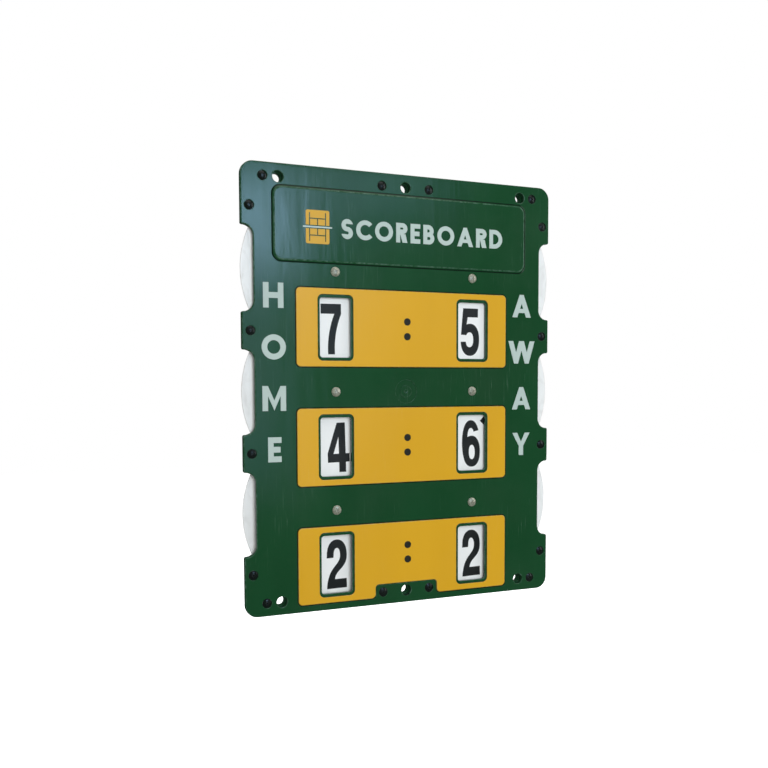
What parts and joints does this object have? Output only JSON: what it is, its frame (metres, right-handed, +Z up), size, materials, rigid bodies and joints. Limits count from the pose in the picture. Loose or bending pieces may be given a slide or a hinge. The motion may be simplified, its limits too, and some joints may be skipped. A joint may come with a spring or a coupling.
{
  "type": "tennis court score board",
  "caption": "Flat court-side score board: a green housing with windows that show numerals on discs turned by their rims.",
  "frame": {"origin": "middle of the flat rear face", "axes": "+X to the viewer's right, +Y from the front face to the rear, +Z up"},
  "size_m": [0.594, 0.0262, 0.7596],
  "materials": {
    "green_plastic": "moulded, smooth, softly glossy",
    "yellow_plastic": "moulded, softly glossy",
    "white_plastic": "smooth sheet",
    "hub_plastic": "turned",
    "nylon": "plain",
    "yellow_film": "self-adhesive film",
    "grey_film": "self-adhesive film",
    "black_film": "printed film",
    "steel": "zinc plated",
    "axle_steel": "brushed, lightly weathered",
    "black_steel": "black coated",
    "brass": "turned"
  },
  "bodies": {
    "housing": {"front_shell": "green_plastic", "rear_shell": "green_plastic", "header_emblem": "yellow_film", "header_letters": "grey_film", "panel_top": "yellow_plastic", "panel_middle": "yellow_plastic", "panel_bottom": "yellow_plastic", "panel_dots": "black_film", "home_letters": "grey_film", "away_letters": "grey_film", "axle_sleeves": "steel", "friction_washers": "nylon", "spring_washers": "steel", "axle_screws": "axle_steel", "axle_nuts": "steel", "shell_screws": "black_steel", "threaded_inserts": "brass"},
    "score_left_top": {"disc_left_top": "white_plastic", "numerals_left_top": "black_film", "hub_left_top": "hub_plastic"},
    "score_left_middle": {"disc_left_middle": "white_plastic", "numerals_left_middle": "black_film", "hub_left_middle": "hub_plastic"},
    "score_left_bottom": {"disc_left_bottom": "white_plastic", "numerals_left_bottom": "black_film", "hub_left_bottom": "hub_plastic"},
    "score_right_top": {"disc_right_top": "white_plastic", "numerals_right_top": "black_film", "hub_right_top": "hub_plastic"},
    "score_right_middle": {"disc_right_middle": "white_plastic", "numerals_right_middle": "black_film", "hub_right_middle": "hub_plastic"},
    "score_right_bottom": {"disc_right_bottom": "white_plastic", "numerals_right_bottom": "black_film", "hub_right_bottom": "hub_plastic"}
  },
  "joints": [
    {"name": "turn_left_top", "type": "hinge", "parent": "housing", "child": "score_left_top", "pos_m": [-0.133, -0.0141, 0.205], "axis": [0, 1, 0], "continuous": true},
    {"name": "turn_left_middle", "type": "hinge", "parent": "housing", "child": "score_left_middle", "pos_m": [-0.133, -0.0121, 0], "axis": [0, 1, 0], "continuous": true},
    {"name": "turn_left_bottom", "type": "hinge", "parent": "housing", "child": "score_left_bottom", "pos_m": [-0.133, -0.0101, -0.205], "axis": [0, 1, 0], "continuous": true},
    {"name": "turn_right_top", "type": "hinge", "parent": "housing", "child": "score_right_top", "pos_m": [0.133, -0.0161, 0.205], "axis": [0, 1, 0], "continuous": true},
    {"name": "turn_right_middle", "type": "hinge", "parent": "housing", "child": "score_right_middle", "pos_m": [0.133, -0.0141, 0], "axis": [0, 1, 0], "continuous": true},
    {"name": "turn_right_bottom", "type": "hinge", "parent": "housing", "child": "score_right_bottom", "pos_m": [0.133, -0.0121, -0.205], "axis": [0, 1, 0], "continuous": true}
  ]
}
